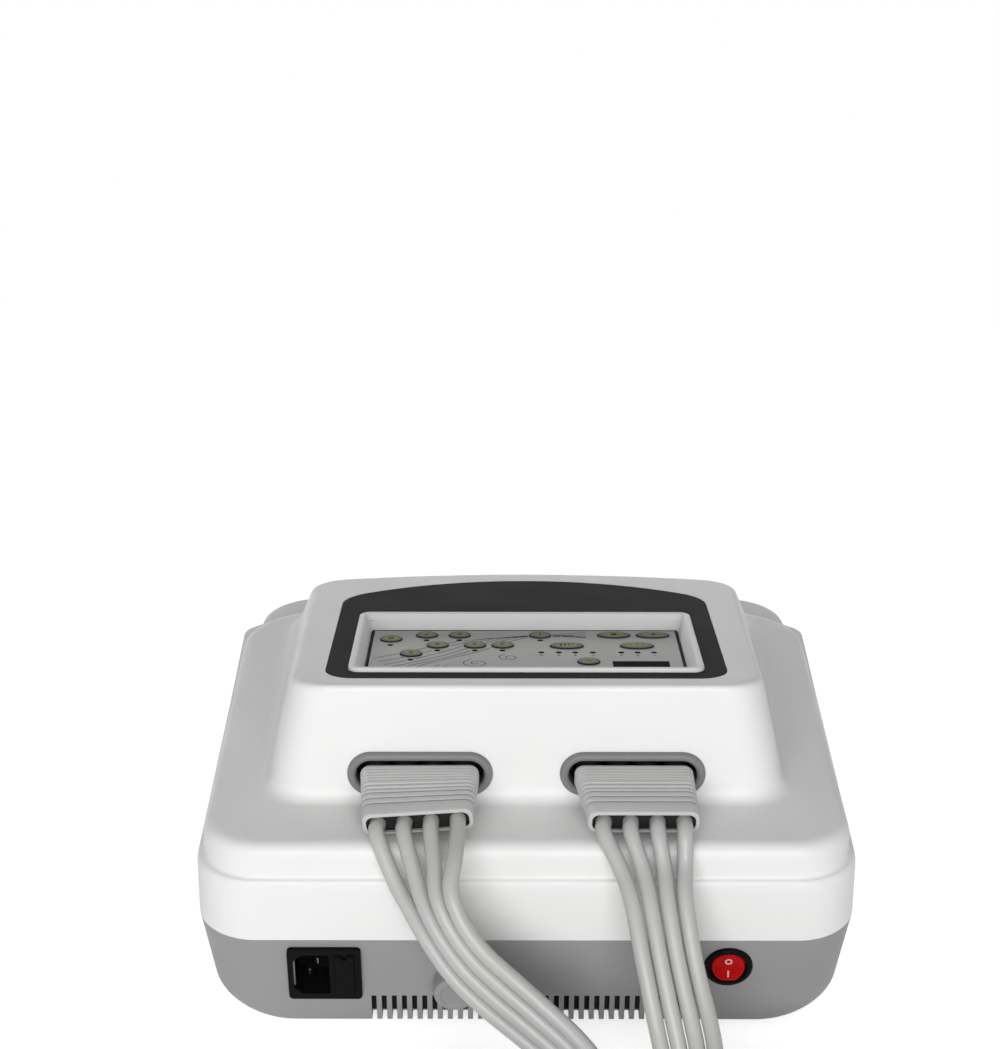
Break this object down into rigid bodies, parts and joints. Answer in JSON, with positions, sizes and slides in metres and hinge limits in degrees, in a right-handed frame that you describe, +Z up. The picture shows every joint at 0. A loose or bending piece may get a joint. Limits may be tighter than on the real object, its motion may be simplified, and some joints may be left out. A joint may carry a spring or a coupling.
{
  "type": "compression therapy pump",
  "caption": "Desktop air pump for a compression garment: sloping keypad console, rear hose ports with grooved plugs, and coiled air hoses.",
  "frame": {"origin": "on the desk, in the middle of the width and of the length from the bumper to the filter cap", "axes": "+Z up; +Y towards the rear wall with the hose ports; the keypad faces -Y, so +X is on the right of a user in front of it"},
  "size_m": [0.3417, 0.4798, 0.1603],
  "materials": {
    "white_shell": "satin",
    "grey_shell": "fine matt",
    "collar_grey": "fine matt",
    "dark_trim": "matt",
    "silver_face": "satin print",
    "key_grey": "satin",
    "display": "polished",
    "led": "polished",
    "black_plastic": "satin",
    "red_paddle": "polished",
    "hose_grey": "satin",
    "plug_grey": "satin",
    "rubber_black": "matt",
    "pin_metal": "bright",
    "screw_steel": "bright",
    "fuse_glass": "clear",
    "circuit_board": "lacquered",
    "pump_metal": "cast",
    "valve_metal": "satin",
    "iron_core": "lacquered",
    "clear_tube": "satin"
  },
  "bodies": {
    "pump": {"base_housing": "grey_shell", "upper_housing": "white_shell", "trim_panel": "dark_trim", "keypad_bezel": "white_shell", "keypad_gasket": "rubber_black", "keypad_overlay": "silver_face", "display_window": "display", "display_module": "black_plastic", "status_leds": "led", "keypad_board": "circuit_board", "port_collar_left": "collar_grey", "port_collar_right": "collar_grey", "port_manifold_left": "black_plastic", "port_manifold_right": "black_plastic", "hose_plug_left": "plug_grey", "hose_plug_right": "plug_grey", "hose_left_1": "hose_grey", "hose_left_2": "hose_grey", "hose_left_3": "hose_grey", "hose_left_4": "hose_grey", "hose_right_1": "hose_grey", "hose_right_2": "hose_grey", "hose_right_3": "hose_grey", "hose_right_4": "hose_grey", "hose_coil_left": "hose_grey", "hose_coil_right": "hose_grey", "garment_connector_left": "plug_grey", "garment_connector_right": "plug_grey", "power_inlet": "black_plastic", "inlet_pins": "pin_metal", "switch_bezel": "black_plastic", "filter_cap": "collar_grey", "rubber_feet": "rubber_black", "housing_screws": "screw_steel", "air_pump": "pump_metal", "pump_mounts": "rubber_black", "valve_manifold": "black_plastic", "solenoid_valves": "valve_metal", "air_tubes": "clear_tube", "transformer": "iron_core", "control_board": "circuit_board"},
    "button_time_up": {"button_time_up": "key_grey"},
    "button_time_down": {"button_time_down": "key_grey"},
    "button_mode": {"button_mode": "key_grey"},
    "button_level": {"button_level": "key_grey"},
    "button_start": {"button_start": "key_grey"},
    "button_stop": {"button_stop": "key_grey"},
    "button_zone_1": {"button_zone_1": "key_grey"},
    "button_zone_2": {"button_zone_2": "key_grey"},
    "button_zone_3": {"button_zone_3": "key_grey"},
    "button_zone_4": {"button_zone_4": "key_grey"},
    "button_zone_5": {"button_zone_5": "key_grey"},
    "button_zone_6": {"button_zone_6": "key_grey"},
    "button_zone_7": {"button_zone_7": "key_grey"},
    "button_zone_8": {"button_zone_8": "key_grey"},
    "rocker": {"switch_rocker": "red_paddle"},
    "drawer": {"fuse_drawer": "black_plastic", "fuse": "fuse_glass"}
  },
  "joints": [
    {"name": "button_time_up_press", "type": "slide", "parent": "pump", "child": "button_time_up", "axis": [0, 0.2419, -0.9703], "range_m": [0, 0.0006], "stiffness_N_per_m": 600, "springref_m": -0.001},
    {"name": "button_time_down_press", "type": "slide", "parent": "pump", "child": "button_time_down", "axis": [0, 0.2419, -0.9703], "range_m": [0, 0.0006], "stiffness_N_per_m": 600, "springref_m": -0.001},
    {"name": "button_mode_press", "type": "slide", "parent": "pump", "child": "button_mode", "axis": [0, 0.2419, -0.9703], "range_m": [0, 0.0006], "stiffness_N_per_m": 600, "springref_m": -0.001},
    {"name": "button_level_press", "type": "slide", "parent": "pump", "child": "button_level", "axis": [0, 0.2419, -0.9703], "range_m": [0, 0.0006], "stiffness_N_per_m": 600, "springref_m": -0.001},
    {"name": "button_start_press", "type": "slide", "parent": "pump", "child": "button_start", "axis": [0, 0.2419, -0.9703], "range_m": [0, 0.0006], "stiffness_N_per_m": 600, "springref_m": -0.001},
    {"name": "button_stop_press", "type": "slide", "parent": "pump", "child": "button_stop", "axis": [0, 0.2419, -0.9703], "range_m": [0, 0.0006], "stiffness_N_per_m": 600, "springref_m": -0.001},
    {"name": "button_zone_1_press", "type": "slide", "parent": "pump", "child": "button_zone_1", "axis": [0, 0.2419, -0.9703], "range_m": [0, 0.0006], "stiffness_N_per_m": 600, "springref_m": -0.001},
    {"name": "button_zone_2_press", "type": "slide", "parent": "pump", "child": "button_zone_2", "axis": [0, 0.2419, -0.9703], "range_m": [0, 0.0006], "stiffness_N_per_m": 600, "springref_m": -0.001},
    {"name": "button_zone_3_press", "type": "slide", "parent": "pump", "child": "button_zone_3", "axis": [0, 0.2419, -0.9703], "range_m": [0, 0.0006], "stiffness_N_per_m": 600, "springref_m": -0.001},
    {"name": "button_zone_4_press", "type": "slide", "parent": "pump", "child": "button_zone_4", "axis": [0, 0.2419, -0.9703], "range_m": [0, 0.0006], "stiffness_N_per_m": 600, "springref_m": -0.001},
    {"name": "button_zone_5_press", "type": "slide", "parent": "pump", "child": "button_zone_5", "axis": [0, 0.2419, -0.9703], "range_m": [0, 0.0006], "stiffness_N_per_m": 600, "springref_m": -0.001},
    {"name": "button_zone_6_press", "type": "slide", "parent": "pump", "child": "button_zone_6", "axis": [0, 0.2419, -0.9703], "range_m": [0, 0.0006], "stiffness_N_per_m": 600, "springref_m": -0.001},
    {"name": "button_zone_7_press", "type": "slide", "parent": "pump", "child": "button_zone_7", "axis": [0, 0.2419, -0.9703], "range_m": [0, 0.0006], "stiffness_N_per_m": 600, "springref_m": -0.001},
    {"name": "button_zone_8_press", "type": "slide", "parent": "pump", "child": "button_zone_8", "axis": [0, 0.2419, -0.9703], "range_m": [0, 0.0006], "stiffness_N_per_m": 600, "springref_m": -0.001},
    {"name": "rocker_turn", "type": "hinge", "parent": "pump", "child": "rocker", "pos_m": [-0.0945, 0.13608, 0.03834], "axis": [-1, 0, 0], "range_deg": [0, 16]},
    {"name": "drawer_slide", "type": "slide", "parent": "pump", "child": "drawer", "axis": [0, 0.9934, -0.1146], "range_m": [0, 0.014]}
  ]
}
